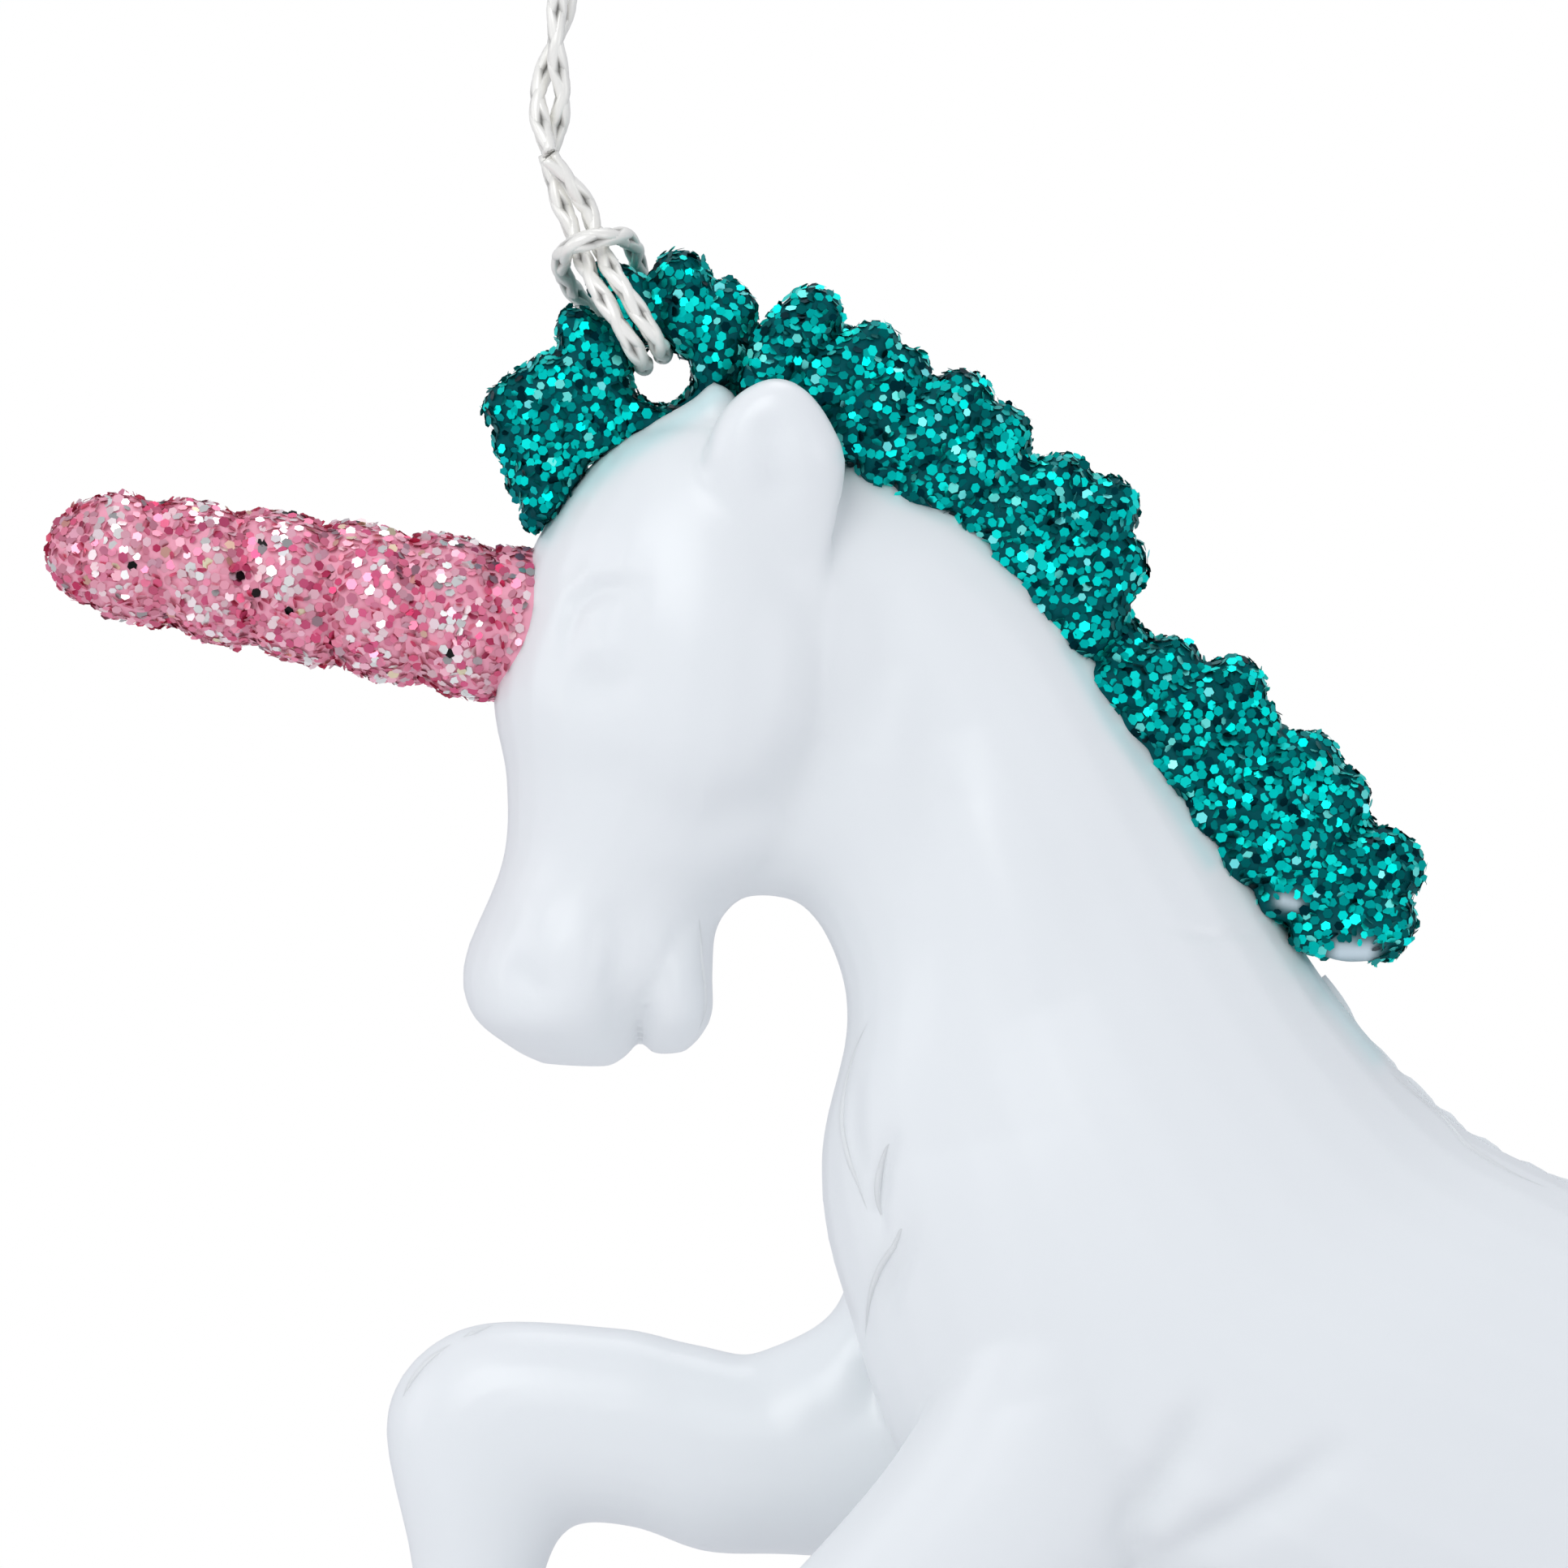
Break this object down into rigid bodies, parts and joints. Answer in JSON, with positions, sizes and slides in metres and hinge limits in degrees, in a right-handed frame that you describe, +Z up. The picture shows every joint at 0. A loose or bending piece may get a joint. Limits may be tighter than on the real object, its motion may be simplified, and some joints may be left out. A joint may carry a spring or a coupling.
{
  "type": "unicorn hanging ornament",
  "caption": "Prancing unicorn figurine in glossy white plastic with a glittered mane, tail and spiral horn, hung from a cord loop hitched through the forelock.",
  "frame": {"origin": "inside of the top of the hanging loop, where a hook bears", "axes": "head towards -X, the figurine's left side towards -Y, +Z up; the two body mouldings meet on y = 0"},
  "size_m": [0.1069, 0.023, 0.1795],
  "materials": {
    "body": "glossy milky white",
    "horn": "pink and silver hexagonal glitter under clear varnish",
    "hair": "teal hexagonal glitter under clear varnish",
    "cord": "braided, metallic silver"
  },
  "bodies": {
    "figurine": {"body_near_half": "body", "body_far_half": "body", "horn": "horn", "forelock": "hair", "mane_crest": "hair", "tail": "hair", "cord_hitch": "cord"},
    "cord_neck": {"cord_neck": "cord"},
    "cord_loop": {"cord_left_strand": "cord", "cord_right_strand": "cord", "cord_end_knot": "cord"}
  },
  "joints": [
    {"name": "cord_tilt", "type": "hinge", "parent": "figurine", "child": "cord_neck", "pos_m": [-0.00085, 0, -0.06241], "axis": [1, 0, 0], "range_deg": [-60, 60]},
    {"name": "loop_swing", "type": "hinge", "parent": "cord_neck", "child": "cord_loop", "pos_m": [-0.0023, 0, -0.05893], "axis": [0, 1, 0], "range_deg": [-60, 60]}
  ]
}
